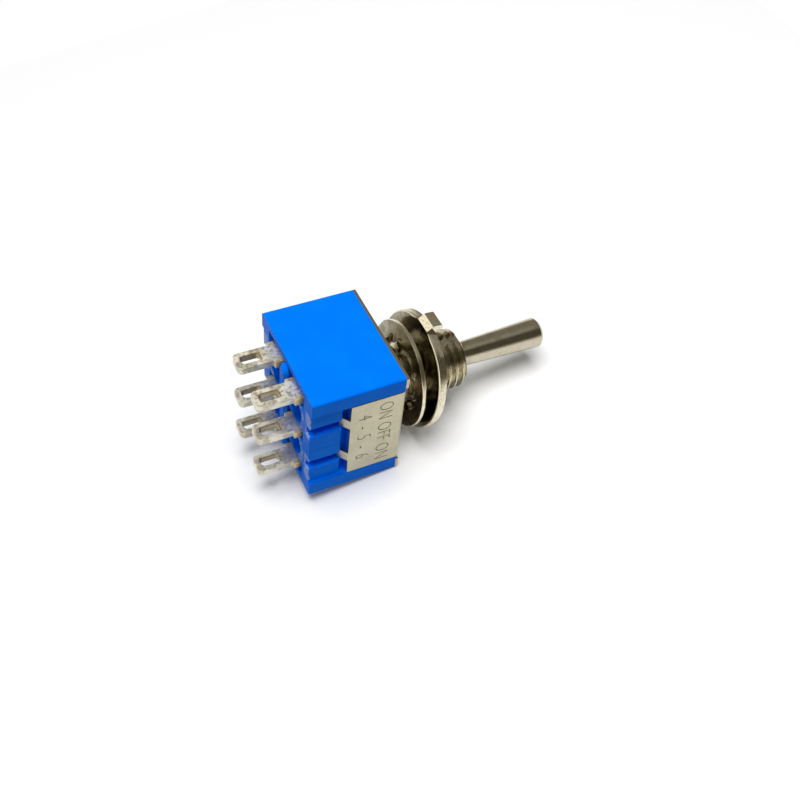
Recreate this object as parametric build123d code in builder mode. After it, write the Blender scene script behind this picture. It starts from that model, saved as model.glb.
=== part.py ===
"""Miniature two-pole panel toggle switch with six solder lugs and a centred bat lever.

Frame: +X runs along the bushing towards the lever's tip, Y runs from one pole to the other
and +Z is the way the lever is thrown. The origin is the bushing's centre on the outer face
of the frame plate, where the switch seats behind a panel. All sizes are in millimetres.
"""
import os
from math import asin, cos, degrees, radians, sin, sqrt, tan

from build123d import *

# ---- driving dimensions: housing ---------------------------------------------------------
body_height = 13.2          # along Z
body_width = 12.3           # along Y, over the end lips
body_depth = 9.4            # along X, frame plate included
lip_height = 1.7            # proud lip at each end of the long sides
corner_radius = 0.25
side_wall = 1.85            # from the lip's face to the cavity
floor_thickness = 1.5
pocket_width = 3.8          # one pole's well, along Y
groove_width = 1.2          # claw grooves on the long sides
groove_depth = 1.2
claw_slot = 0.6             # open beside each flap's end, along X
block_edge_radius = 0.25

# ---- driving dimensions: terminal face ---------------------------------------------------
well_length = 3.8           # recess round each lug, along Y
well_width = 1.5            # along Z
well_depth = 0.6
end_rim = 0.65              # thin rim left beside the outermost wells
pocket_radius = 1.4         # round pockets between the lugs
pocket_depth = 0.95
rib_width = 1.5             # rounded rib between the two poles
rib_margin = 0.9            # from the rib's end to the body's end
rib_rise = 0.45
rib_chamfer = 0.3

# ---- driving dimensions: frame bracket ---------------------------------------------------
plate_thickness = 0.3
flap_length = 5.55          # from the plate's outer face
bend_radius = 0.25          # inside the folds
relief_width = 0.45         # notch at each end of a fold
claw_width = 1.1
claw_length = 1.15
claw_angle = 52.0           # degrees, into the grooves

# ---- driving dimensions: terminals -------------------------------------------------------
lug_pitch = 4.7             # along Z
pole_pitch = 4.8            # along Y
lug_length = 4.0            # outside the terminal face
lug_width = 2.0
lug_thickness = 0.8
lug_corner = 0.45
slot_length = 1.9
slot_width = 0.95
slot_corner = 0.35
slot_edge = 0.55            # from the lug's tip to its slot
shoulder_width = 2.65
shoulder_length = 0.6
tab_reach = 2.0             # inner tab of an end terminal, from its blade's far side
post_width = 1.5            # top of the common terminal, under the rocker

# ---- driving dimensions: bushing ---------------------------------------------------------
thread_diameter = 6.0
bushing_length = 8.6
mouth_chamfer = 0.3
flange_size = 8.0
flange_thickness = 1.0
flange_corner = 1.2
keyway_width = 1.3
keyway_depth = 0.5
mouth_diameter = 4.5
ball_cylinder = 3.9         # straight bore behind the ball's centre
neck_diameter = 3.05
foot_bore_diameter = 5.4

# ---- driving dimensions: lever -----------------------------------------------------------
pivot_height = 4.5          # from the seat plane to the ball's centre
ball_diameter = 3.9
lever_base_diameter = 2.27  # where the bat leaves the ball
lever_tip_diameter = 3.15
lever_reach = 18.35         # from the seat plane to the tip
lever_tip_chamfer = 0.35
lever_throw = 12.0          # degrees each way from the centre
stem_diameter = 2.0
tang_width = 1.6
tail_seat = 0.5             # actuator left below the lever's tail

# ---- driving dimensions: actuator, plungers and springs ----------------------------------
actuator_gap = 0.75         # under the flange, so that the cross-bar can swing
actuator_depth = 3.2        # along Z
actuator_chamfer = 0.4
plunger_diameter = 2.0
plunger_bore = 1.3
plunger_length = 2.8
plunger_reach = 1.15        # nose below the actuator, with the lever centred
plunger_wall = 0.8          # solid tip below the spring
plunger_travel = 0.35
plunger_collar = 0.6        # actuator wall beside a plunger
spring_seat = 0.1           # room left above a fully pressed plunger
spring_wire = 0.18
spring_coils = 4

# ---- driving dimensions: rockers and contacts --------------------------------------------
rocker_thickness = 0.45
rocker_width = 2.4
rocker_length = 8.8
rocker_dish = 4.7           # span of the dished middle
wing_start = 2.95           # where the level wings begin
rocker_ratio = 0.5          # rocker angle for each degree of lever
rocker_seat_rise = 0.35     # pivot centre to the underside of the strip
rocker_ear = 0.35           # ears that straddle the common terminal
rocker_ear_radius = 0.75
contact_size = 1.1          # square silver tips
contact_height = 0.31
moving_contact_height = 0.2
contact_span = 3.85         # from the pole's middle to each contact

# ---- driving dimensions: washers ---------------------------------------------------------
lock_diameter = 10.8
lock_thickness = 0.42
lock_teeth = 6
lock_gap_width = 2.35
lock_root_diameter = 8.2    # round bottoms of the gaps
lock_twist = 24.0           # degrees
lock_tooth_start = 7.4      # diameter where the twisted part of a tooth begins
tooth_root_width = 1.7
tooth_tip_width = 0.95
tooth_overlap = 0.2         # tooth's root inside the ring
lock_turn = -5.0            # degrees from the poles' line to a gap
lock_place = 2.45
lock_lean = 4.5             # degrees
locating_diameter = 11.9
locating_thickness = 0.9
locating_place = 4.0
locating_lean = 7.5         # degrees
tab_width = 1.9
tab_length = 0.75           # in front of the washer
tab_thickness = 0.55
tab_rise = 0.6              # tab's outer face above the washer's rim
tab_root = 0.9
tab_bend = 0.25
tab_lift = 0.05             # the tab's fold stops a little short of square
key_depth = 0.3             # key's reach into the keyway

# ---- named clearances --------------------------------------------------------------------
fit_clearance = 0.05        # running fits, each side
slip_clearance = 0.03       # pressed or dropped-in pieces, each side
flap_clearance = 0.1        # flap to lip, and to the block behind it
blade_clearance = 0.4       # end terminals to the cavity's end walls
swing_clearance = 0.2       # swinging actuator to the wall between the poles
washer_clearance = 0.2      # washer bore to thread, each side
hang_clearance = 0.02       # left where a hanging washer meets the thread
contact_clearance = 0.02    # left between closed contacts at full throw

# ---- places worked out from the sizes above ----------------------------------------------
plate_back = -plate_thickness
terminal_face = -body_depth
floor_inside = terminal_face + floor_thickness
lip_start = body_height / 2 - lip_height
flap_height = 2 * (lip_start - flap_clearance)
block_recess = plate_thickness + flap_clearance
flange_back = plate_back - flange_thickness
cavity_half_width = body_width / 2 - side_wall
cavity_half_height = lug_pitch + lug_thickness / 2 + blade_clearance
actuator_top = flange_back - actuator_gap
stem_radius = stem_diameter / 2
ball_radius = ball_diameter / 2
thread_radius = thread_diameter / 2
plunger_radius = plunger_diameter / 2
rocker_swing = rocker_ratio * lever_throw

tab_top = floor_inside + lug_thickness
contact_gap = (contact_span + contact_size / 2) * sin(radians(rocker_swing)) + contact_clearance
rocker_pivot = tab_top + contact_height + contact_gap - rocker_seat_rise
wing_underside = rocker_pivot + rocker_seat_rise + moving_contact_height
plunger_foot = rocker_pivot + rocker_seat_rise + rocker_thickness + fit_clearance
plunger_ball = plunger_foot + plunger_radius
plunger_top = plunger_foot + plunger_length
actuator_foot = plunger_foot + plunger_reach
actuator_swing = sqrt((pivot_height - actuator_foot) ** 2 + (actuator_depth / 2) ** 2)
partition_top = pivot_height - actuator_swing - swing_clearance
swing_length = pivot_height - plunger_ball
ball_height = plunger_ball - rocker_pivot
dish_path = (swing_length - ball_height * rocker_ratio) ** 2 / (
    swing_length * (1 + 2 * rocker_ratio) - ball_height * rocker_ratio ** 2
)
dish_radius = dish_path + plunger_radius + fit_clearance
tail_end = actuator_foot + tail_seat
hole_end = plunger_top + plunger_travel + spring_seat
outer_well_top = body_height / 2 - end_rim
outer_well_height = outer_well_top - lug_pitch + well_width / 2
outer_well_pitch = 2 * outer_well_top - outer_well_height
flap_inside = body_width / 2 - plate_thickness
bend_outside = bend_radius + plate_thickness
bend_mitre = plate_thickness / 2 * tan(radians(claw_angle / 2))
lug_tip = terminal_face - lug_length
pole_centres = {"near": -pole_pitch / 2, "far": pole_pitch / 2}
end_strip = (body_height - flap_height) / 2 - relief_width
dish_foot = rocker_pivot + rocker_seat_rise + rocker_thickness
dish_centre = dish_foot + dish_radius
dish_angle = degrees(asin(rocker_dish / 2 / dish_radius))
spring_radius = (plunger_bore - spring_wire) / 2 - fit_clearance
spring_foot = plunger_foot + plunger_wall + spring_wire / 2
spring_top = hole_end - spring_wire / 2
lock_tooth_root = lock_tooth_start / 2
washer_bore = thread_radius + washer_clearance

os.makedirs("parts", exist_ok=True)


def side_plane(y):
    """Plane through a pole: its own x is the bushing's axis and its own y points up."""
    return Plane(origin=(0, y, 0), x_dir=(1, 0, 0), z_dir=(0, -1, 0))


def leaning_plane(place, lean, depth):
    """Middle plane of a washer of this depth, hung on the thread with its top leaning forward."""
    tilt = radians(lean)
    drop = washer_bore * cos(tilt) - depth / 2 * sin(tilt) - thread_radius - hang_clearance
    return Plane(
        origin=(place, 0, -drop),
        x_dir=(0, 1, 0),
        z_dir=(cos(tilt), 0, -sin(tilt)),
    )


def ball_offset(radius, ring_radius):
    """How far from a ball's centre a coaxial ring of the given radius meets it."""
    return sqrt(radius**2 - ring_radius**2)


def finish(piece, name):
    """Label a finished piece and write it to its own file."""
    piece.label = name
    export_step(piece, f"parts/{name}.step")


# ---- housing: one moulding, open towards the frame plate ---------------------------------
with BuildPart() as housing:
    with BuildSketch(Plane.YZ.offset(terminal_face)):
        RectangleRounded(body_width, body_height, corner_radius)
    extrude(amount=body_depth - plate_thickness)

    # the long sides step back between the lips, with room for the frame's flaps
    with BuildSketch(Plane.YZ.offset(terminal_face)):
        with GridLocations(body_width - block_recess, 1, 2, 1):
            Rectangle(block_recess, 2 * lip_start)
    extrude(amount=body_depth, mode=Mode.SUBTRACT)
    seat_edges = housing.edges().filter_by(Axis.Z).group_by(Axis.X)[-1].group_by(Axis.Y)
    fillet(seat_edges[1] + seat_edges[-2], bend_radius + fit_clearance)

    # a slot across each long side at the flap's end, and grooves for the flap's claws
    with BuildSketch(Plane.YZ.offset(-flap_length - claw_slot)):
        with GridLocations(body_width - groove_depth, 1, 2, 1):
            Rectangle(groove_depth, 2 * lip_start)
    extrude(amount=claw_slot + slip_clearance, mode=Mode.SUBTRACT)
    slot_edges = housing.edges().filter_by(Axis.Z).filter_by_position(
        Axis.X, -flap_length - claw_slot - slip_clearance, -flap_length - claw_slot + slip_clearance
    )
    fillet(slot_edges.group_by(Axis.Y)[0] + slot_edges.group_by(Axis.Y)[-1], block_edge_radius)
    with BuildSketch(Plane.YZ.offset(terminal_face)):
        with GridLocations(body_width - groove_depth, lug_pitch, 2, 2):
            Rectangle(groove_depth, groove_width)
    extrude(amount=body_depth - flap_length + slip_clearance, mode=Mode.SUBTRACT)

    # wells round the lugs, the outermost ones reaching out to a thin rim
    with BuildSketch(Plane.YZ.offset(terminal_face)):
        with GridLocations(pole_pitch, lug_pitch, 2, 3):
            Rectangle(well_length, well_width)
        with GridLocations(pole_pitch, outer_well_pitch, 2, 2):
            Rectangle(well_length, outer_well_height)
    extrude(amount=well_depth, mode=Mode.SUBTRACT)

    # round pockets between the lugs
    with BuildSketch(Plane.YZ.offset(terminal_face)):
        with GridLocations(pole_pitch, lug_pitch, 2, 2):
            Circle(pocket_radius)
    extrude(amount=pocket_depth, mode=Mode.SUBTRACT)

    # rib between the poles, with round ends and bevelled edges
    with BuildSketch(Plane.YZ.offset(terminal_face)):
        SlotOverall(body_height - 2 * rib_margin, rib_width, rotation=90)
    extrude(amount=-rib_rise)
    chamfer(housing.faces().sort_by(Axis.X)[0].edges(), rib_chamfer)

    # cavity: a deep well for each pole under one open chamber
    with BuildSketch(Plane.YZ.offset(floor_inside)):
        with GridLocations(pole_pitch, 1, 2, 1):
            Rectangle(pocket_width, 2 * cavity_half_height)
    extrude(amount=body_depth, mode=Mode.SUBTRACT)
    with BuildSketch(Plane.YZ.offset(partition_top)):
        Rectangle(2 * cavity_half_width, 2 * cavity_half_height)
    extrude(amount=body_depth, mode=Mode.SUBTRACT)

    # slots through the floor for the terminal blades
    with BuildSketch(Plane.YZ.offset(terminal_face)):
        with GridLocations(pole_pitch, lug_pitch, 2, 3):
            Rectangle(lug_width + 2 * slip_clearance, lug_thickness + 2 * slip_clearance)
    extrude(amount=floor_thickness, mode=Mode.SUBTRACT)
finish(housing.part, "housing")

# ---- frame bracket: one folded sheet over the lever side ---------------------------------
with BuildPart() as frame_bracket:
    # the two flaps and the middle of the plate, folded from one strip
    with BuildSketch(Plane.XY):
        with BuildLine():
            skin = FilletPolyline(
                (-flap_length, -body_width / 2),
                (0, -body_width / 2),
                (0, body_width / 2),
                (-flap_length, body_width / 2),
                radius=bend_outside,
            )
            Line(skin @ 0, skin @ 1)
        make_face()
        with BuildLine():
            inner = FilletPolyline(
                (-flap_length, -flap_inside),
                (plate_back, -flap_inside),
                (plate_back, flap_inside),
                (-flap_length, flap_inside),
                radius=bend_radius,
            )
            Line(inner @ 0, inner @ 1)
        make_face(mode=Mode.SUBTRACT)
    extrude(amount=flap_height / 2, both=True)

    # the plate's own outline, with a relief notch left at each end of a fold
    with BuildSketch(Plane.YZ.offset(plate_back)):
        Rectangle(body_width - 2 * bend_outside, body_height)
        with GridLocations(1, body_height - end_strip, 1, 2):
            Rectangle(body_width, end_strip)
    extrude(amount=plate_thickness)
    fillet(
        frame_bracket.edges().filter_by(Axis.X).group_by(Axis.Z)[0]
        + frame_bracket.edges().filter_by(Axis.X).group_by(Axis.Z)[-1],
        corner_radius,
    )

    # claws, two on each flap, bent at their roots into the grooves behind them
    claw_drop = sin(radians(claw_angle))
    claw_run = cos(radians(claw_angle))
    for claw_z in (-lug_pitch / 2, lug_pitch / 2):
        with BuildSketch(Plane.XY.offset(claw_z)):
            with BuildLine():
                Polyline(
                    (plate_thickness - flap_length, body_width / 2),
                    (-flap_length - bend_mitre, body_width / 2),
                    (-flap_length - bend_mitre - claw_length * claw_run,
                     body_width / 2 - claw_length * claw_drop),
                    (-flap_length - bend_mitre - claw_length * claw_run + plate_thickness * claw_drop,
                     body_width / 2 - claw_length * claw_drop - plate_thickness * claw_run),
                    (-flap_length + bend_mitre, flap_inside),
                    (plate_thickness - flap_length, flap_inside),
                    close=True,
                )
            make_face()
            mirror(about=Plane.XZ)
        extrude(amount=claw_width / 2, both=True)

    # hole for the bushing
    with BuildSketch(Plane.YZ.offset(plate_back)):
        Circle(thread_radius + slip_clearance)
    extrude(amount=plate_thickness, mode=Mode.SUBTRACT)
finish(frame_bracket.part, "frame_bracket")

# ---- bushing: threaded tube, ball seat and flange ----------------------------------------
bore_radius = ball_radius + fit_clearance
neck_radius = neck_diameter / 2
seat_end = pivot_height + ball_offset(bore_radius, neck_radius)
bore_start = pivot_height - ball_cylinder
with BuildPart() as bushing:
    with BuildSketch(Plane.YZ.offset(flange_back)):
        RectangleRounded(flange_size, flange_size, flange_corner)
    extrude(amount=flange_thickness)
    with BuildSketch(Plane.YZ.offset(plate_back)):
        Circle(thread_radius)
    extrude(amount=bushing_length + plate_thickness)
    chamfer(bushing.faces().sort_by(Axis.X)[-1].edges(), mouth_chamfer)

    # bore: flared foot, cylinder, ball seat and flared mouth
    with BuildSketch(Plane.XY):
        with BuildLine():
            Polyline(
                (flange_back, 0),
                (flange_back, foot_bore_diameter / 2),
                (bore_start, bore_radius),
                (pivot_height, bore_radius),
            )
            CenterArc(
                (pivot_height, 0),
                bore_radius,
                degrees(asin(neck_radius / bore_radius)),
                90 - degrees(asin(neck_radius / bore_radius)),
            )
            Polyline(
                (seat_end, neck_radius),
                (bushing_length, mouth_diameter / 2),
                (bushing_length, 0),
                (flange_back, 0),
            )
        make_face()
    revolve(axis=Axis.X, mode=Mode.SUBTRACT)

    # keyway along the top of the thread
    with BuildSketch(Plane.YZ):
        with Locations((0, thread_radius)):
            Rectangle(keyway_width, 2 * keyway_depth)
    extrude(amount=bushing_length, mode=Mode.SUBTRACT)
finish(bushing.part, "bushing")

# ---- lever: bat, ball, stem and tang in one turned piece ----------------------------------
lever_base_radius = lever_base_diameter / 2
lever_tip_half = lever_tip_diameter / 2
with BuildPart() as lever:
    with BuildSketch(Plane.XY) as lever_section:
        with BuildLine():
            Polyline(
                (tail_end, 0),
                (tail_end, stem_radius),
                (pivot_height - ball_offset(ball_radius, stem_radius), stem_radius),
            )
            ThreePointArc(
                (pivot_height - ball_offset(ball_radius, stem_radius), stem_radius),
                (pivot_height, ball_radius),
                (pivot_height + ball_offset(ball_radius, lever_base_radius), lever_base_radius),
            )
            Polyline(
                (pivot_height + ball_offset(ball_radius, lever_base_radius), lever_base_radius),
                (lever_reach, lever_tip_half),
                (lever_reach, 0),
                (tail_end, 0),
            )
        make_face()
        chamfer(lever_section.vertices().sort_by(Axis.Y)[-1], lever_tip_chamfer)
    revolve(axis=Axis.X)

    # two flats on the tail, so that the actuator can't turn on it
    with BuildSketch(Plane.YZ.offset(tail_end)):
        with GridLocations(1, tang_width + stem_diameter, 1, 2):
            Rectangle(2 * stem_diameter, stem_diameter)
    extrude(amount=actuator_top + slip_clearance - tail_end, mode=Mode.SUBTRACT)
finish(lever.part, "lever")

# ---- actuator: cross-bar on the lever's tail ----------------------------------------------
with BuildPart() as actuator:
    with BuildSketch(side_plane(0)) as actuator_section:
        with Locations(((actuator_top + actuator_foot) / 2, 0)):
            Rectangle(actuator_top - actuator_foot, actuator_depth)
        chamfer(actuator_section.vertices().group_by(Axis.X)[-1], actuator_chamfer)
    extrude(amount=pole_pitch / 2 + plunger_radius + fit_clearance + plunger_collar, both=True)
    with BuildSketch(Plane.YZ.offset(actuator_foot)):
        with GridLocations(pole_pitch, 1, 2, 1):
            Circle(plunger_radius + fit_clearance)
    extrude(amount=hole_end - actuator_foot, mode=Mode.SUBTRACT)
    with BuildSketch(Plane.YZ.offset(tail_end - slip_clearance)):
        Circle(stem_radius + slip_clearance)
        Rectangle(2 * stem_diameter, tang_width + 2 * slip_clearance, mode=Mode.INTERSECT)
    extrude(amount=actuator_top - tail_end + slip_clearance, mode=Mode.SUBTRACT)
finish(actuator.part, "actuator")

# ---- what each pole holds: terminals, contacts, rocker, plunger and spring ----------------
for pole, pole_y in pole_centres.items():
    blade_plane = side_plane(pole_y)

    for position, lug_z in (("lower", -lug_pitch), ("middle", 0), ("upper", lug_pitch)):
        common = position == "middle"
        with BuildPart() as terminal:
            with BuildSketch(Plane.XY.offset(lug_z)) as lug_outline:
                with Locations(((lug_tip + floor_inside) / 2, pole_y)):
                    Rectangle(floor_inside - lug_tip, lug_width)
                fillet(lug_outline.vertices().group_by(Axis.X)[0], lug_corner)
                with Locations((terminal_face + (well_depth - shoulder_length) / 2, pole_y)):
                    Rectangle(well_depth + shoulder_length, shoulder_width)
                with Locations((lug_tip + slot_edge + slot_length / 2, pole_y)):
                    RectangleRounded(slot_length, slot_width, slot_corner, mode=Mode.SUBTRACT)
            extrude(amount=lug_thickness / 2, both=True)
            if common:
                # narrow post with a rounded top, the knife edge that the rocker sits on
                with BuildSketch(blade_plane):
                    with Locations(((floor_inside + rocker_pivot) / 2, 0)):
                        Rectangle(rocker_pivot - floor_inside, lug_thickness)
                    with Locations((rocker_pivot, 0)):
                        Circle(lug_thickness / 2)
                extrude(amount=post_width / 2, both=True)
            else:
                # inner end bent flat on the floor, towards the pole's middle
                outward = lug_z / lug_pitch
                tab_middle = lug_z + outward * (lug_thickness - tab_reach) / 2
                with BuildSketch(blade_plane):
                    with Locations((floor_inside + lug_thickness / 2, tab_middle)):
                        Rectangle(lug_thickness, tab_reach)
                extrude(amount=lug_width / 2, both=True)
        finish(terminal.part, f"terminal_{pole}_{position}")

    # silver tips on the two end terminals
    with BuildPart() as fixed_contacts:
        with BuildSketch(Plane.YZ.offset(tab_top)):
            with Locations((pole_y, -contact_span), (pole_y, contact_span)):
                Rectangle(contact_size, contact_size)
        extrude(amount=contact_height)
    finish(fixed_contacts.part, f"fixed_contacts_{pole}")

    # rocker: dished strip with level wings, grooved for the post, with an ear each side of it
    with BuildPart() as rocker:
        with BuildSketch(blade_plane):
            with BuildLine():
                Line((dish_foot, 0), (dish_foot - rocker_thickness, 0))
                CenterArc((dish_centre, 0), dish_radius + rocker_thickness, 180, -dish_angle)
                Polyline(
                    (dish_centre - (dish_radius + rocker_thickness) * cos(radians(dish_angle)),
                     (dish_radius + rocker_thickness) * sin(radians(dish_angle))),
                    (wing_underside, wing_start),
                    (wing_underside, rocker_length / 2),
                    (wing_underside + rocker_thickness, rocker_length / 2),
                    (wing_underside + rocker_thickness, wing_start),
                    (dish_centre - dish_radius * cos(radians(dish_angle)),
                     dish_radius * sin(radians(dish_angle))),
                )
                CenterArc((dish_centre, 0), dish_radius, 180, -dish_angle)
            make_face()
            mirror(about=Plane.XZ)
        extrude(amount=rocker_width / 2, both=True)
        for side in (-1, 1):
            ear_place = side * (post_width / 2 + fit_clearance + rocker_ear / 2)
            with BuildSketch(side_plane(pole_y + ear_place)):
                with Locations((rocker_pivot, 0)):
                    Circle(rocker_ear_radius)
            extrude(amount=rocker_ear / 2, both=True)
        with BuildSketch(blade_plane):
            with Locations((rocker_pivot, 0)):
                Circle(lug_thickness / 2 + fit_clearance)
        extrude(amount=post_width / 2 + fit_clearance, both=True, mode=Mode.SUBTRACT)
    finish(rocker.part, f"rocker_{pole}")

    # silver tips under the rocker's wings
    with BuildPart() as moving_contacts:
        with BuildSketch(Plane.YZ.offset(wing_underside)):
            with Locations((pole_y, -contact_span), (pole_y, contact_span)):
                Rectangle(contact_size, contact_size)
        extrude(amount=-moving_contact_height)
    finish(moving_contacts.part, f"moving_contacts_{pole}")

    # plunger: a cup with a round nose that rides on the rocker
    with BuildPart() as plunger:
        with BuildSketch(Plane.XY):
            with BuildLine():
                CenterArc((plunger_ball, pole_y), plunger_radius, 90, 90)
                Polyline(
                    (plunger_ball, pole_y + plunger_radius),
                    (plunger_top, pole_y + plunger_radius),
                    (plunger_top, pole_y + plunger_bore / 2),
                    (plunger_foot + plunger_wall, pole_y + plunger_bore / 2),
                    (plunger_foot + plunger_wall, pole_y),
                    (plunger_foot, pole_y),
                )
            make_face()
        revolve(axis=Axis((0, pole_y, 0), (1, 0, 0)))
    finish(plunger.part, f"plunger_{pole}")

    # spring inside the plunger, pressing on the end of the actuator's hole
    with BuildPart() as spring:
        with BuildLine():
            coil = Helix(
                pitch=(spring_top - spring_foot) / spring_coils,
                height=spring_top - spring_foot,
                radius=spring_radius,
                center=(spring_foot, pole_y, 0),
                direction=(1, 0, 0),
            )
        with BuildSketch(Plane(origin=coil @ 0, z_dir=coil % 0)):
            RegularPolygon(spring_wire / 2, 4)
        sweep(is_frenet=True)
    finish(spring.part, f"spring_{pole}")

# ---- washers, loose on the thread ---------------------------------------------------------
tooth_depth = lock_thickness + tooth_tip_width * sin(radians(lock_twist))
lock_plane = leaning_plane(lock_place, lock_lean, tooth_depth)
with BuildPart() as lock_washer:
    with BuildSketch(lock_plane):
        Circle(lock_diameter / 2)
        Circle(lock_tooth_root, mode=Mode.SUBTRACT)
        with PolarLocations(lock_root_diameter / 2 - lock_gap_width / 2, lock_teeth, start_angle=lock_turn):
            Circle(lock_gap_width / 2, mode=Mode.SUBTRACT)
    extrude(amount=lock_thickness / 2, both=True)

    # teeth: tapered blades, each twisted about its own middle line
    twist = radians(lock_twist)
    for tooth in range(lock_teeth):
        angle = radians(lock_turn + (tooth + 0.5) * 360 / lock_teeth)
        outward = lock_plane.x_dir * cos(angle) + lock_plane.y_dir * sin(angle)
        along = lock_plane.z_dir.cross(outward)
        blade_face = lock_plane.z_dir * cos(twist) - along * sin(twist)
        with BuildSketch(Plane(lock_plane.origin, outward, blade_face)):
            with BuildLine():
                Polyline(
                    (washer_bore, -tooth_tip_width / 2),
                    (lock_tooth_root + tooth_overlap, -tooth_root_width / 2),
                    (lock_tooth_root + tooth_overlap, tooth_root_width / 2),
                    (washer_bore, tooth_tip_width / 2),
                    close=True,
                )
            make_face()
        extrude(amount=lock_thickness / 2, both=True)
finish(lock_washer.part, "lock_washer")

locating_plane = leaning_plane(locating_place, locating_lean, locating_thickness)
with BuildPart() as locating_washer:
    with BuildSketch(locating_plane):
        Circle(locating_diameter / 2)
        Circle(washer_bore, mode=Mode.SUBTRACT)
        with Locations((0, washer_bore)):
            Rectangle(keyway_width - 2 * fit_clearance, 2 * key_depth)
    extrude(amount=locating_thickness / 2, both=True)

    # tab: rises over the rim and bends forward, away from the body
    tab_plane = Plane(locating_plane.origin, locating_plane.z_dir, -locating_plane.x_dir)
    rim_radius = locating_diameter / 2
    tab_outside = rim_radius + tab_rise
    with BuildSketch(tab_plane):
        with BuildLine():
            FilletPolyline(
                (-locating_thickness / 2, rim_radius - tab_root),
                (-locating_thickness / 2, rim_radius),
                (locating_thickness / 2 - tab_thickness / 2, tab_outside),
                (locating_thickness / 2 + tab_length, tab_outside + tab_lift),
                (locating_thickness / 2 + tab_length, tab_outside + tab_lift - tab_thickness),
                (locating_thickness / 2, tab_outside - tab_thickness),
                (locating_thickness / 2, rim_radius - tab_root),
                radius=tab_bend,
                close=True,
            )
        make_face()
    extrude(amount=tab_width / 2, both=True)
finish(locating_washer.part, "locating_washer")
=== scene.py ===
"""Looks of the miniature toggle switch: finishes for every piece, the bushing's thread,
the stamped marks on the frame's flaps and softened edges, with a plain studio round them."""
from math import atan, cos, pi, radians, sin

import bpy
from mathutils import Matrix, Vector

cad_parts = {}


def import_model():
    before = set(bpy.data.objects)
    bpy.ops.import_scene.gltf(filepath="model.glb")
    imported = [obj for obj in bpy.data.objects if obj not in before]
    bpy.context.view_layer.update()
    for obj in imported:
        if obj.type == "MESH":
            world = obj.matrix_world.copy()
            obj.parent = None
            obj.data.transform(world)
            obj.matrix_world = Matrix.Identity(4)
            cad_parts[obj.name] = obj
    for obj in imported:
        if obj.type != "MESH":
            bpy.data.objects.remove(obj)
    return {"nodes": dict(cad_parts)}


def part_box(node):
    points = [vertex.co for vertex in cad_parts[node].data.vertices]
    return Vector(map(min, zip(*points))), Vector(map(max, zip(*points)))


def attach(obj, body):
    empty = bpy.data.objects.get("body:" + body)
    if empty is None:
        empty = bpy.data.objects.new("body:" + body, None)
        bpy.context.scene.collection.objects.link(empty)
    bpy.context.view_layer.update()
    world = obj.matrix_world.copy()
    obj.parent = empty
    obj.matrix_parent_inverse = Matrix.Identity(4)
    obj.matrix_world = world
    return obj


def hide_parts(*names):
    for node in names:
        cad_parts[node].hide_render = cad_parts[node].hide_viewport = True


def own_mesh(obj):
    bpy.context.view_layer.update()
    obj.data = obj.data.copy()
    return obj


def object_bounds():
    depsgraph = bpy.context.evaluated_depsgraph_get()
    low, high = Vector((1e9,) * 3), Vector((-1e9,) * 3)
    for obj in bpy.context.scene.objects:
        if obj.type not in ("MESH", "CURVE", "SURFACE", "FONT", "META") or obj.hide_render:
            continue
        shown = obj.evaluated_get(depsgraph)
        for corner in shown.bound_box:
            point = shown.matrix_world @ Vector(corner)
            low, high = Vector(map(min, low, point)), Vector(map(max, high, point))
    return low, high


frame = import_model()
cad_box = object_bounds()

MM = 0.001
NODES = frame["nodes"]
POLES = ("near", "far")
POSITIONS = ("lower", "middle", "upper")

# ---- sizes, in metres ----------------------------------------------------------------------
thread_pitch = 0.75 * MM
thread_depth = 0.42 * MM
thread_crest = thread_pitch / 6
thread_root = thread_pitch / 8
thread_start = 0.6 * MM
thread_cap = 0.15 * MM       # cutter left standing proud of the crests
thread_turns = 12
thread_steps = 72
thread_radius = 3.0 * MM
merge_distance = 1e-7

mark_size = 2.11 * MM        # gives figures 1.36 mm high
mark_narrow = 0.72           # width of the figures against the font's own
mark_thinning = 0.04 * MM
mark_depth = 0.06 * MM
mark_curve_steps = 3
mark_lines = {               # words: depth from the plate, spacing
    "ON OFF ON": (2.1 * MM, 1.02),
    "4 - 5 - 6": (4.15 * MM, 1.25),
}

housing_edge = 0.07 * MM
lug_edge = 0.13 * MM
washer_edge = 0.05 * MM
washer_rims = {              # node: rim's radius, rounding, where the tab keeps its own edges
    "lock_washer": (5.4 * MM, 0.16 * MM, 9.0 * MM),
    "locating_washer": (5.95 * MM, 0.27 * MM, 5.75 * MM),
}
rim_share = 0.985            # of the rim's radius, beyond which an edge is on the rim
rim_segments = 4
bracket_edge = 0.05 * MM
lever_edge = 0.14 * MM

# shading angles, in degrees
soft_angle = 35.0            # edges gentler than this are shaded smooth
thread_angle = 28.0
coil_angle = 60.0
sharp_edge = 40.0            # edges sharper than this are rounded
lever_sharp_edge = 30.0
flat_angle = 0.5             # triangles flatter than this belong to one face

# ---- where the switch lies and where the camera stands -------------------------------------
table_slope = 0.15           # it leans on the housing's lower front edge and the keyed washer
table_size = 160 * MM
table_shine = 0.1
floor_glow = 0.04            # lifts the table's white to the camera alone
view_azimuth = radians(-31.62)
view_elevation = radians(49.34)
view_roll = radians(8.07)
view_distance = 96.7 * MM
view_aim = Vector((1.01, -3.29, 0.0)) * MM
view_lens = 45.34
view_sensor = 36
view_reach = (0.005, 5)      # nearest and farthest distance that the camera sees
lamp_place = (-0.055, -0.02, 0.36)
lamp_size = 0.25
lamp_power = 1.42


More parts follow.
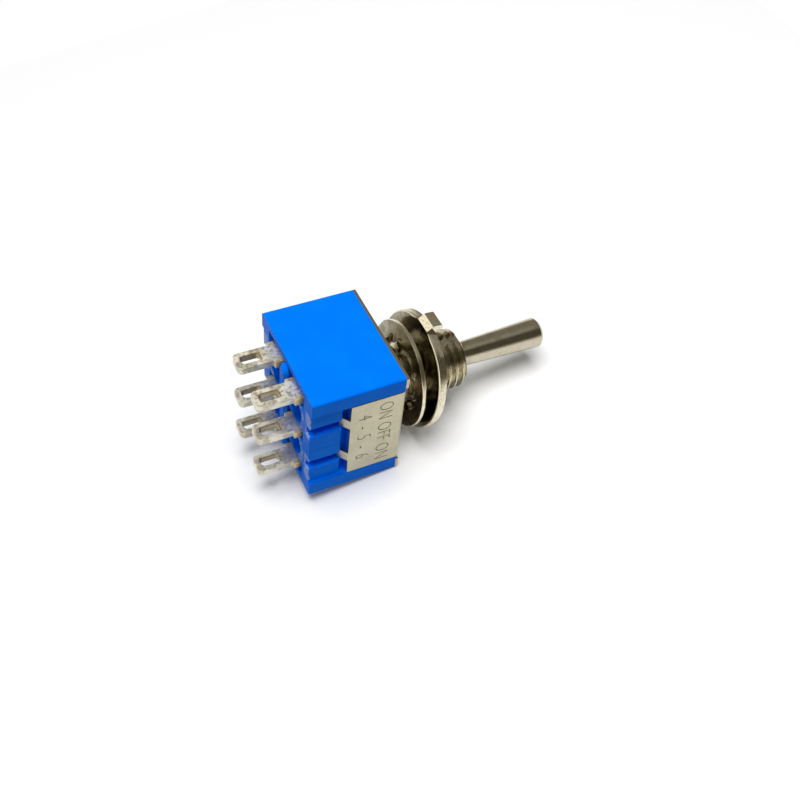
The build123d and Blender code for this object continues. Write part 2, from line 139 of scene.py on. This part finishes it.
# ---- shader maths --------------------------------------------------------------------------
class Socket:
    """A shader socket that Python's operators can reckon with."""

    def __init__(self, nodes, socket):
        self.nodes = nodes
        self.socket = socket

    def math(self, operation, *values):
        return self.nodes.node("ShaderNodeMath", {"operation": operation}, dict(enumerate(values)))

    def __add__(self, other):
        return self.math("ADD", self, other)

    def __sub__(self, other):
        return self.math("SUBTRACT", self, other)

    def __rsub__(self, other):
        return self.math("SUBTRACT", other, self)

    def __mul__(self, other):
        return self.math("MULTIPLY", self, other)

    __radd__ = __add__
    __rmul__ = __mul__

    def size(self):
        """Distance from zero."""
        return self.math("ABSOLUTE", self)

    def clamped(self):
        """Kept between 0 and 1."""
        return self.nodes.node("ShaderNodeClamp", {}, {"Value": self})

    def step(self, low, high):
        """0 below low, 1 above high, and smooth between them."""
        settings = {"interpolation_type": "SMOOTHSTEP"}
        inputs = {"Value": self, "From Min": low, "From Max": high}
        return self.nodes.node("ShaderNodeMapRange", settings, inputs)

    def band(self, middle, half_width, soft):
        """1 within half a width of the middle, falling to 0 over the soft edge."""
        return 1 - (self - middle).size().step(half_width, half_width + soft)

    def part(self, name):
        """Another output of the same node, such as a texture's Color."""
        return Socket(self.nodes, self.socket.node.outputs[name])


class NodeTree:
    """A tree of shader nodes, made one node at a time."""

    def __init__(self, tree):
        self.tree = tree

    def feed(self, socket, value):
        if isinstance(value, Socket):
            self.tree.links.new(value.socket, socket)
        else:
            socket.default_value = value

    def node(self, kind, settings=None, inputs=None):
        made = self.tree.nodes.new(kind)
        for name, value in (settings or {}).items():
            setattr(made, name, value)
        for name, value in (inputs or {}).items():
            self.feed(made.inputs[name], value)
        shown = next((socket for socket in made.outputs if socket.enabled), None)
        return Socket(self, shown)

    def blend(self, factor, first, second):
        """First colour where the factor is 0, second where it is 1."""
        inputs = {"Factor": factor, 6: colour_of(first), 7: colour_of(second)}
        mixed = self.node("ShaderNodeMix", {"data_type": "RGBA"}, inputs)
        return Socket(self, mixed.socket.node.outputs[2])

    def axes(self, place):
        """The three coordinates of a place."""
        split = self.node("ShaderNodeSeparateXYZ", {}, {"Vector": place})
        return [split.part(name) for name in "XYZ"]


class Finish(NodeTree):
    """One procedural material on object coordinates."""

    def __init__(self, name, **constants):
        self.material = bpy.data.materials.new(name)
        self.material.use_nodes = True
        super().__init__(self.material.node_tree)
        self.shader = self.tree.nodes["Principled BSDF"]
        for socket, value in constants.items():
            self.shader.inputs[socket.replace("_", " ")].default_value = value
        self.place = self.node("ShaderNodeTexCoord").part("Object")

    def millimetres(self):
        """Object coordinates in millimetres."""
        return [axis * (1 / MM) for axis in self.axes(self.place)]

    def stretched(self, x, y, z):
        """Object coordinates scaled apart along the axes."""
        return self.node("ShaderNodeMapping", {}, {"Vector": self.place, "Scale": (x, y, z)})

    def noise(self, per_mm, detail=3.0, roughness=0.55, where=None):
        """Cloudy pattern with about this many features in a millimetre."""
        inputs = {
            "Vector": where or self.place,
            "Scale": per_mm / MM,
            "Detail": detail,
            "Roughness": roughness,
        }
        return self.node("ShaderNodeTexNoise", {}, inputs)

    def cells(self, per_mm):
        """Distance from the middle of the nearest cell, with about this many in a millimetre."""
        inputs = {"Vector": self.place, "Scale": per_mm / MM}
        return self.node("ShaderNodeTexVoronoi", {}, inputs)

    def colour(self, value):
        self.feed(self.shader.inputs["Base Color"], colour_of(value))

    def rough(self, value):
        self.feed(self.shader.inputs["Roughness"], value)

    def relief(self, height, depth):
        """Bump of this depth, in metres."""
        inputs = {"Height": height, "Distance": depth, "Strength": 1.0}
        bump = self.node("ShaderNodeBump", {}, inputs)
        self.feed(self.shader.inputs["Normal"], bump)


def colour_of(value):
    return value if isinstance(value, Socket) or len(value) == 4 else (*value, 1.0)


# ---- finishes ------------------------------------------------------------------------------
# places on the housing and the lugs, in millimetres, as (start, end) where a mark fades in
parting_line = -0.3          # height of the mould's parting line
lip_edge = 4.9               # where the proud lips begin, above and below the middle
long_side = (5.7, 5.9)       # the housing's long sides, from the middle
below_flap = (5.6, 6.2)      # past the flaps' ends, behind the frame plate
outer_part = (4.6, 5.0)      # the blocks' outer part, from the middle
pole_place = 2.4             # the poles' middles, across the housing
pocket_place = 2.35          # the round pockets' middles, above and below the middle lugs
pocket_reach = 3.2           # square of the distance from a pocket's middle to its rim, where a whitish sheen is painted
terminal_face = (9.3, 9.38)
pad_sheen_start = (9.70, 9.82)     # where the painted whitish sheen on the pads begins, the ragged noise added
lug_root = (-10.9, -9.7)     # where the painted bluish light from the housing fades in
lug_slot = -11.9             # the slots' middles
lug_slot_reach = 0.98        # half of a slot's length
lug_slot_side = (0.48, 0.56)
lug_shoulder = (0.95, 1.15)
lug_shoulder_end = (-9.75, -9.4)

rubbed_grain = (9.0, 9.0, 1.2)
olive_bright = (0.64, 0.585, 0.43)
olive_dark = (0.30, 0.255, 0.165)


def blue_plastic():
    """Bright blue moulding: flow marks, a few specks, a parting line, and a whitish painted sheen
    with ragged edges on the terminal face's pocket rims and pads.
    """
    finish = Finish(
        "blue_plastic", IOR=1.46, Specular_IOR_Level=0.1, Specular_Tint=(0.03, 0.45, 1.0, 1.0)
    )
    along, across, height = finish.millimetres()
    backwards, aside, away = 0 - along, across.size(), height.size()
    clouds = finish.noise(0.35, 4.0)
    grain = finish.noise(14.0, 2.0)
    blue = finish.blend(clouds.step(0.35, 0.7), (0.0, 0.190, 0.99), (0.0, 0.210, 1.0))
    specks = finish.noise(2.6, 2.0).step(0.70, 0.76)
    blue = finish.blend(specks * 0.45, blue, (0.0, 0.10, 0.55))
    parting = height.band(parting_line, 0.02, 0.04) * finish.noise(0.9, 2.0).step(0.35, 0.5)
    blue = finish.blend(parting * 0.6, blue, (0.0, 0.05, 0.28))
    # a darker line along where the lips begin, on the long sides behind the flaps
    lip_step_line = away.band(lip_edge, 0.015, 0.05) * aside.step(*long_side) * backwards.step(*below_flap)
    blue = finish.blend(lip_step_line * 0.5, blue, (0.0, 0.07, 0.38))
    # painted sheen: a whitish reflection of the table painted on the pockets' rims on the terminal
    # face, broken up by noise
    to_pole = aside - pole_place
    to_pocket = away - pocket_place
    beside_pocket = (to_pole * to_pole + to_pocket * to_pocket).band(pocket_reach, 1.1, 0.4)
    painted_rim_sheen = beside_pocket * to_pole.step(0.4, 1.0) * backwards.step(*terminal_face)
    rim_sheen_breakup = finish.noise(1.8, 4.0, 0.7).step(0.47, 0.55)
    blue = finish.blend(painted_rim_sheen * rim_sheen_breakup * 0.7, blue, (0.42, 0.50, 0.95))
    # painted sheen: a whitish reflection painted on the raised pads along the terminal face's
    # outer edges, with a ragged edge
    ragged = backwards + finish.noise(1.3, 3.0, 0.7) * 0.9
    painted_pad_sheen = ragged.step(*pad_sheen_start) * aside.step(*outer_part) * away.band(3.0, 1.5, 0.3)
    finish.colour(finish.blend(painted_pad_sheen * 0.65, blue, (0.50, 0.64, 1.0)))
    finish.rough(0.36 + clouds * 0.10 + grain * 0.06)
    finish.relief(grain * 0.5 + finish.noise(2.0, 2.0) * 0.5, 0.006 * MM)
    return finish.material


def nickel(name, bright, dark, roughness, depth, scratch, dark_share):
    """Nickel plate: olive grey, cloudy tarnish, fine rubbed scratches and a few pits."""
    finish = Finish(name, Metallic=1.0)
    smoothest, roughest = roughness
    clouds = finish.noise(0.9, 5.0, 0.65)
    rubbed = finish.noise(1.0, 6.0, 0.7, finish.stretched(*scratch))
    pits = finish.cells(5.0).step(0.0, 0.25)
    middle = 0.62 - 0.2 * dark_share
    tarnish = clouds.step(middle - 0.08, middle + 0.10) * 0.6 + rubbed.step(0.48, 0.62) * 0.3
    plate = finish.blend(tarnish.clamped(), bright, dark)
    worn = finish.noise(4.5, 4.0, 0.7).step(0.60, 0.68)
    finish.colour(finish.blend(worn * 0.5, plate, (0.76, 0.72, 0.58)))
    finish.rough(smoothest + (roughest - smoothest) * (clouds * 0.6 + rubbed * 0.4))
    finish.relief(rubbed * 0.5 + pits * 0.3 + finish.noise(4.0, 3.0) * 0.2, depth)
    return finish.material


def washer_with_painted_light():
    """Stamped nickel: flat faces painted dark as painted shade, rims and tab painted light as
    painted highlight, with cloudy tarnish, rubbed grain, pits and specks.
    """
    finish = Finish("stamped_nickel", Metallic=1.0)
    # faces are told apart by which way they point: the flat faces get the painted shade, the rims
    # and tab the painted highlight
    facing = finish.axes(finish.node("ShaderNodeTexCoord").part("Normal"))[0]
    shaded_flats = facing.size().step(0.80, 0.93)
    clouds = finish.noise(0.8, 5.0, 0.65)
    rubbed = finish.noise(1.0, 6.0, 0.7, finish.stretched(*rubbed_grain))
    pits = finish.cells(4.0).step(0.0, 0.22)
    # painted highlight colours for the rims and tab, streaked by the rubbed grain
    bright = finish.blend(rubbed.step(0.46, 0.60), (0.82, 0.76, 0.59), (0.56, 0.50, 0.35))
    # painted shade colours for the flat faces, clouded by tarnish
    dark = finish.blend(clouds.step(0.44, 0.62), (0.34, 0.30, 0.21), (0.20, 0.17, 0.105))
    specks = finish.noise(3.6, 3.0, 0.6).step(0.66, 0.72)
    plate = finish.blend(shaded_flats, bright, dark)
    finish.colour(finish.blend(specks * 0.6, plate, (0.66, 0.60, 0.45)))
    finish.rough(0.10 + clouds * 0.08 + rubbed * 0.06)
    finish.relief(rubbed * 0.4 + pits * 0.3 + finish.noise(4.0, 3.0) * 0.3, 0.012 * MM)
    return finish.material


def satin_sheet():
    """Frame sheet: soft olive nickel with a fine rolled grain."""
    finish = Finish("satin_sheet", Metallic=1.0)
    clouds = finish.noise(0.6, 5.0, 0.6)
    grain = finish.noise(9.0, 3.0, 0.7)
    shade = (clouds.step(0.35, 0.7) * 0.6 + grain.step(0.4, 0.65) * 0.4).clamped()
    finish.colour(finish.blend(shade, (0.55, 0.51, 0.37), (0.45, 0.42, 0.295)))
    finish.rough(0.30 + clouds * 0.12 + grain * 0.08)
    finish.relief(grain * 0.7 + finish.noise(2.5, 2.0) * 0.3, 0.012 * MM)
    return finish.material


def stamped_mark():
    """Bottom of the stamped figures: dull and dark, where the die pressed the plate away."""
    finish = Finish("stamped_mark", Metallic=1.0)
    clouds = finish.noise(5.0, 3.0, 0.6)
    finish.colour(finish.blend(clouds.step(0.4, 0.62), (0.20, 0.18, 0.12), (0.40, 0.36, 0.26)))
    finish.rough(0.45 + clouds * 0.15)
    finish.relief(clouds, 0.01 * MM)
    return finish.material


def tinned_lug():
    """Hot-tinned brass: cream skin in soft lumps, a painted bluish light from the housing by the
    body, bare at the shoulders.
    """
    finish = Finish("tinned_lug")
    along, across, _ = finish.millimetres()
    lumps = finish.noise(0.9, 2.0, 0.5)
    fine = finish.noise(3.2, 3.0, 0.6)
    skin = finish.blend(lumps.step(0.40, 0.60), (1.0, 0.95, 0.79), (0.70, 0.64, 0.49))
    skin = finish.blend(fine.step(0.56, 0.64) * 0.45, skin, (0.42, 0.36, 0.22))
    # painted light: bluish light from the housing painted on the lugs next to the body
    skin = finish.blend(along.step(*lug_root) * 0.35, skin, (0.50, 0.55, 0.62))
    from_pole = (across.size() - pole_place).size()
    in_slot = (1 - from_pole.step(*lug_slot_side)) * along.band(lug_slot, lug_slot_reach, 0.06)
    skin = finish.blend(in_slot * 0.75, skin, (0.34, 0.25, 0.10))
    shoulder = from_pole.step(*lug_shoulder) * (along + fine * 0.8).step(*lug_shoulder_end)
    finish.colour(finish.blend(shoulder * 0.8, skin, (0.78, 0.56, 0.16)))
    finish.feed(finish.shader.inputs["Metallic"], 0.35 + fine.step(0.45, 0.6) * 0.35)
    finish.rough(0.20 + lumps * 0.14 + fine * 0.10)
    finish.relief(lumps * 0.6 + fine * 0.4, 0.07 * MM)
    return finish.material


def plain_part(name, first, second, roughness, metallic):
    """Finish of a piece inside the housing."""
    finish = Finish(name, Metallic=metallic)
    smoothest, roughest = roughness
    clouds = finish.noise(2.0, 4.0)
    finish.colour(finish.blend(clouds.step(0.35, 0.65), first, second))
    finish.rough(smoothest + (roughest - smoothest) * clouds)
    finish.relief(finish.noise(12.0, 2.0), 0.005 * MM)
    return finish.material


def hidden_metal(name, first, second, roughness):
    return plain_part(name, first, second, roughness, metallic=1.0)


FINISHES = {
    "housing": blue_plastic(),
    "frame": satin_sheet(),
    "mark": stamped_mark(),
    "bushing": nickel(
        "turned_nickel", olive_bright, olive_dark, roughness=(0.10, 0.22), depth=0.016 * MM,
        scratch=(2.5, 9, 9), dark_share=0.55,
    ),
    "lever": nickel(
        "lever_nickel", (0.58, 0.53, 0.41), (0.44, 0.39, 0.28), roughness=(0.12, 0.22),
        depth=0.008 * MM, scratch=(1.0, 9, 9), dark_share=0.4,
    ),
    "washer": washer_with_painted_light(),
    "terminal": tinned_lug(),
    "actuator": plain_part(
        "natural_nylon", (0.80, 0.78, 0.70), (0.74, 0.71, 0.62), (0.4, 0.55), metallic=0.0
    ),
    "plunger": hidden_metal("turned_brass", (0.76, 0.60, 0.30), (0.66, 0.50, 0.24), (0.2, 0.35)),
    "rocker": hidden_metal("plated_brass", (0.80, 0.74, 0.58), (0.72, 0.62, 0.42), (0.25, 0.4)),
    "contacts": hidden_metal("fine_silver", (0.86, 0.85, 0.82), (0.74, 0.72, 0.68), (0.25, 0.4)),
    "spring": hidden_metal("spring_wire", (0.62, 0.62, 0.62), (0.50, 0.50, 0.51), (0.2, 0.35)),
}


def dress(piece, finish):
    """Give every face of a piece one finish."""
    piece.data.materials.clear()
    piece.data.materials.append(FINISHES[finish])


# ---- working on meshes ---------------------------------------------------------------------
def only(piece):
    """Make one object the only selected and active one."""
    bpy.ops.object.select_all(action="DESELECT")
    piece.select_set(True)
    bpy.context.view_layer.objects.active = piece


def pick(piece, test):
    """Select the vertices whose place passes a test, with the edges and faces between them."""
    mesh = piece.data
    for vertex in mesh.vertices:
        vertex.select = test(vertex.co)
    for part in (*mesh.edges, *mesh.polygons):
        part.select = all(mesh.vertices[corner].select for corner in part.vertices)


def apply(piece, kind, **settings):
    """Add a modifier and apply it."""
    only(piece)
    modifier = piece.modifiers.new(kind.lower(), kind)
    for name, value in settings.items():
        setattr(modifier, name, value)
    bpy.ops.object.modifier_apply(modifier=modifier.name)


def weld(piece):
    """Join the vertices that share a place, and turn every face outwards."""
    only(piece)
    bpy.ops.object.mode_set(mode="EDIT")
    bpy.ops.mesh.select_all(action="SELECT")
    bpy.ops.mesh.remove_doubles(threshold=merge_distance)
    bpy.ops.mesh.normals_make_consistent(inside=False)
    bpy.ops.object.mode_set(mode="OBJECT")


def merged_copy(node, name):
    """Copy of a solid with its triangles joined into whole flat faces."""
    piece = bpy.data.objects.new(name, NODES[node].data.copy())
    bpy.context.scene.collection.objects.link(piece)
    only(piece)
    bpy.ops.object.mode_set(mode="EDIT")
    bpy.ops.mesh.select_all(action="SELECT")
    bpy.ops.mesh.remove_doubles(threshold=merge_distance)
    bpy.ops.mesh.dissolve_limited(angle_limit=radians(flat_angle))
    bpy.ops.object.mode_set(mode="OBJECT")
    if piece.data.has_custom_normals:
        bpy.ops.mesh.customdata_custom_splitnormals_clear()
    return piece


def cut(piece, tool):
    """Take one solid from another, with the tool's finish on the cut, and drop the tool."""
    apply(
        piece, "BOOLEAN", operation="DIFFERENCE", solver="EXACT", use_self=True,
        material_mode="TRANSFER", object=tool,
    )
    bpy.data.objects.remove(tool)


def smooth(piece, angle=soft_angle):
    """Shade the gentle edges smooth, and keep the flat faces flat beside them."""
    only(piece)
    bpy.ops.object.shade_smooth_by_angle(angle=radians(angle))
    apply(piece, "WEIGHTED_NORMAL", keep_sharp=True, weight=100)


def soften(piece, width, sharp=sharp_edge, segments=2):
    """Round the sharp edges and shade the rest smooth."""
    apply(
        piece, "BEVEL", width=width, segments=segments, limit_method="ANGLE",
        angle_limit=radians(sharp),
    )
    smooth(piece)


def settle(piece, node, body):
    """Hang a finished piece on the body it moves with, and hide the solid it stands for."""
    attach(piece, body)
    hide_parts(node)


# ---- bushing with its thread ---------------------------------------------------------------
def thread_cutter():
    """Helical ridge with the groove's section, wound from the frame plate past the mouth."""
    bpy.ops.object.select_all(action="DESELECT")
    bpy.ops.mesh.primitive_plane_add(size=1)
    cutter = bpy.context.object
    bpy.ops.object.mode_set(mode="EDIT")
    bpy.ops.mesh.select_all(action="SELECT")
    bpy.ops.transform.resize(value=(thread_root, thread_depth, 1))
    bpy.ops.transform.translate(value=(thread_start, thread_radius - thread_depth / 2, 0))
    bpy.ops.object.mode_set(mode="OBJECT")
    pick(cutter, lambda place: place.y > thread_radius - thread_depth / 2)
    bpy.ops.object.mode_set(mode="EDIT")
    wide = (thread_pitch - thread_crest) / thread_root
    bpy.ops.transform.resize(value=(wide, 1, 1), center_override=(thread_start, thread_radius, 0))
    bpy.ops.mesh.extrude_edges_move(TRANSFORM_OT_translate={"value": (0, thread_cap, 0)})
    bpy.ops.object.mode_set(mode="OBJECT")
    pick(cutter, lambda place: abs(place.y - thread_radius) < thread_cap / 2)
    bpy.ops.object.mode_set(mode="EDIT")
    bpy.ops.mesh.dissolve_edges(use_verts=False)
    bpy.ops.object.mode_set(mode="OBJECT")
    apply(
        cutter, "SCREW", axis="X", angle=2 * pi, screw_offset=thread_pitch,
        iterations=thread_turns, steps=thread_steps, render_steps=thread_steps,
        use_merge_vertices=False,
    )
    bpy.ops.object.mode_set(mode="EDIT")
    bpy.ops.mesh.select_all(action="SELECT")
    bpy.ops.mesh.remove_doubles(threshold=merge_distance)
    bpy.ops.mesh.select_all(action="DESELECT")
    bpy.ops.mesh.select_non_manifold(extend=False)
    bpy.ops.mesh.edge_face_add()
    bpy.ops.mesh.select_all(action="SELECT")
    bpy.ops.mesh.normals_make_consistent(inside=False)
    bpy.ops.object.mode_set(mode="OBJECT")
    return cutter


def threaded_bushing():
    bushing = merged_copy("bushing", "threaded_bushing")
    dress(bushing, "bushing")
    cutter = thread_cutter()
    dress(cutter, "bushing")
    cut(bushing, cutter)
    smooth(bushing, thread_angle)
    settle(bushing, "bushing", "body")


# ---- frame bracket with its stamped marks --------------------------------------------------
def mark(words, depth_from_plate, spacing):
    """One stamped line on the near flap, read from its top downwards."""
    bpy.ops.object.select_all(action="DESELECT")
    bpy.ops.object.text_add()
    text = bpy.context.object
    text.data.body = words
    text.data.size = mark_size
    text.data.offset = -mark_thinning
    text.data.align_x = "CENTER"
    text.data.align_y = "CENTER"
    text.data.extrude = mark_depth
    text.data.resolution_u = mark_curve_steps
    text.data.space_character = spacing
    bpy.ops.object.convert(target="MESH")
    near_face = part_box("frame_bracket")[0].y
    downwards = Vector((0, 0, -1))
    outwards = Vector((0, -1, 0))
    upright = outwards.cross(downwards)
    turn = Matrix((downwards, upright, outwards)).transposed().to_4x4()
    narrow = Matrix.Diagonal((mark_narrow, 1, 1, 1))
    text.matrix_world = Matrix.Translation((-depth_from_plate, near_face, 0)) @ turn @ narrow
    only(text)
    bpy.ops.object.transform_apply(location=True, rotation=True, scale=True)
    weld(text)
    dress(text, "mark")
    return text


def stamped_bracket():
    bracket = merged_copy("frame_bracket", "stamped_bracket")
    dress(bracket, "frame")
    soften(bracket, bracket_edge)
    for words, (depth_from_plate, spacing) in mark_lines.items():
        cut(bracket, mark(words, depth_from_plate, spacing))
    smooth(bracket)
    settle(bracket, "frame_bracket", "body")


# ---- pieces whose edges are softened -------------------------------------------------------
def softened(node, name, width, finish, body, slot, **how):
    """Copy of a solid with rounded edges and its finish, in the solid's place."""
    piece = merged_copy(node, name)
    soften(piece, width, **how)
    dress(piece, finish)
    settle(piece, node, body)


def softened_pieces():
    softened("housing", "moulded_housing", housing_edge, "housing", "body", "housing_plastic")
    softened(
        "lever", "rounded_lever", lever_edge, "lever", "lever", "lever_nickel",
        sharp=lever_sharp_edge, segments=3,
    )
    for pole in POLES:
        for position in POSITIONS:
            node = f"terminal_{pole}_{position}"
            name = f"tinned_{pole}_{position}"
            softened(node, name, lug_edge, "terminal", "body", "terminal_tin")


def round_rim(washer, radius, width, below):
    """Round both edges of a stamped washer's rim, up to where its tab begins."""
    mesh = washer.data
    tools = bpy.context.scene.tool_settings
    tools.mesh_select_mode = (False, True, False)
    for part in (*mesh.vertices, *mesh.polygons):
        part.select = False
    for edge in mesh.edges:
        ends = [mesh.vertices[end].co for end in edge.vertices]
        span = ends[1] - ends[0]
        on_rim = all(end.yz.length > rim_share * radius and end.z < below for end in ends)
        edge.select = on_rim and abs(span.x) < 0.5 * span.length
    only(washer)
    bpy.ops.object.mode_set(mode="EDIT")
    bpy.ops.mesh.bevel(offset=width, segments=rim_segments, clamp_overlap=False)
    bpy.ops.object.mode_set(mode="OBJECT")
    tools.mesh_select_mode = (True, False, False)


def washers():
    for node, (radius, width, below) in washer_rims.items():
        washer = merged_copy(node, f"plated_{node}")
        round_rim(washer, radius, width, below)
        soften(washer, washer_edge)
        dress(washer, "washer")
        settle(washer, node, "body")


def coiled_springs():
    """The springs inside the plungers, which in the switch shorten as the plungers slide in; here
    each gets a mesh of its own and moves with the lever.
    """
    for pole in POLES:
        node = f"spring_{pole}"
        spring = merged_copy(node, f"coiled_{node}")
        smooth(spring, coil_angle)
        dress(spring, "spring")
        settle(spring, node, "lever")
        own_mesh(spring)


def dressed_solids():
    dress(NODES["actuator"], "actuator")
    for pole in POLES:
        dress(NODES[f"plunger_{pole}"], "plunger")
        dress(NODES[f"rocker_{pole}"], "rocker")
        dress(NODES[f"fixed_contacts_{pole}"], "contacts")
        dress(NODES[f"moving_contacts_{pole}"], "contacts")


# ---- studio --------------------------------------------------------------------------------
def camera():
    back = Vector((
        sin(view_azimuth) * cos(view_elevation),
        -cos(view_azimuth) * cos(view_elevation),
        sin(view_elevation),
    ))
    level = Vector((0, 0, 1)).cross(back).normalized()
    raised = back.cross(level)
    right = level * cos(view_roll) + raised * sin(view_roll)
    up = back.cross(right)
    data = bpy.data.cameras.new("camera")
    data.lens = view_lens
    data.sensor_width = view_sensor
    data.clip_start, data.clip_end = view_reach
    seen = bpy.data.objects.new("camera", data)
    turn = Matrix((right, up, back)).transposed().to_4x4()
    seen.matrix_world = Matrix.Translation(view_aim + back * view_distance) @ turn
    bpy.context.scene.collection.objects.link(seen)
    bpy.context.scene.camera = seen


def floor():
    """White table under the switch: it keeps the shadow and is white where nothing shades it."""
    bpy.ops.object.select_all(action="DESELECT")
    bpy.ops.mesh.primitive_plane_add(
        size=table_size, location=(0, 0, cad_box[0].z), rotation=(0, -atan(table_slope), 0)
    )
    table = bpy.context.object
    table.name = "floor"
    finish = Finish("white_table", Roughness=0.8, Specular_IOR_Level=table_shine)
    path = finish.node("ShaderNodeLightPath")
    to_camera = path.part("Is Camera Ray")
    mottle = finish.noise(0.02, 2.0)
    bounced = finish.blend(mottle, (0.44, 0.44, 0.44), (0.47, 0.47, 0.47))
    seen = (to_camera + path.part("Is Glossy Ray")).clamped()
    finish.colour(finish.blend(seen, bounced, (0.98, 0.98, 0.98)))
    paint = Socket(finish, finish.shader.outputs[0])
    glow = {"Color": (1, 1, 1, 1), "Strength": floor_glow}
    lamp = finish.node("ShaderNodeEmission", {}, glow)
    lifted = finish.node("ShaderNodeAddShader", {}, {0: paint, 1: lamp})
    mixed = finish.node("ShaderNodeMixShader", {}, {0: to_camera, 1: paint, 2: lifted})
    finish.feed(finish.tree.nodes["Material Output"].inputs["Surface"], mixed)
    table.data.materials.append(finish.material)


def world():
    """White to the camera, soft light from above, and a dim room for the metal to mirror."""
    made = bpy.data.worlds.new("studio")
    bpy.context.scene.world = made
    made.use_nodes = True
    made.node_tree.nodes.clear()
    room = NodeTree(made.node_tree)
    path = room.node("ShaderNodeLightPath")
    x, y, z = room.axes(room.node("ShaderNodeTexCoord").part("Generated"))
    front = (0 - y).step(0.1, 0.4)
    overhead = z.step(0.84, 0.94)
    horizon = 1 - z.step(0.02, 0.32)
    window = (0 - x).step(0.30, 0.55) * (1 - z.step(0.72, 0.85))
    below = 1 - z.step(-0.12, 0.0)
    mirrored = room.blend(front, (0.25, 0.235, 0.20), (0.09, 0.083, 0.065))
    mirrored = room.blend(overhead, mirrored, (0.36, 0.345, 0.31))
    mirrored = room.blend(horizon, mirrored, (0.72, 0.70, 0.65))
    mirrored = room.blend(window, mirrored, (1.20, 1.17, 1.10))
    mirrored = room.blend(below, mirrored, (0.95, 0.95, 0.93))
    lit = room.blend(path.part("Is Glossy Ray"), (0.15, 0.15, 0.15), mirrored)
    shown = room.blend(path.part("Is Camera Ray"), lit, (1.0, 1.0, 1.0))
    background = room.node("ShaderNodeBackground", {}, {"Color": shown})
    room.node("ShaderNodeOutputWorld", {}, {"Surface": background})


def overhead_lamp():
    """Square lamp above the switch, turned towards it."""
    data = bpy.data.lights.new("overhead", "AREA")
    data.size = lamp_size
    data.energy = lamp_power
    lamp = bpy.data.objects.new("overhead", data)
    lamp.location = lamp_place
    towards = view_aim - Vector(lamp_place)
    lamp.rotation_euler = towards.to_track_quat("-Z", "Y").to_euler()
    lamp.visible_glossy = False
    bpy.context.scene.collection.objects.link(lamp)


def studio():
    floor()
    world()
    overhead_lamp()
    bpy.context.scene.view_settings.view_transform = "Standard"


camera()
studio()
threaded_bushing()
stamped_bracket()
softened_pieces()
washers()
coiled_springs()
dressed_solids()
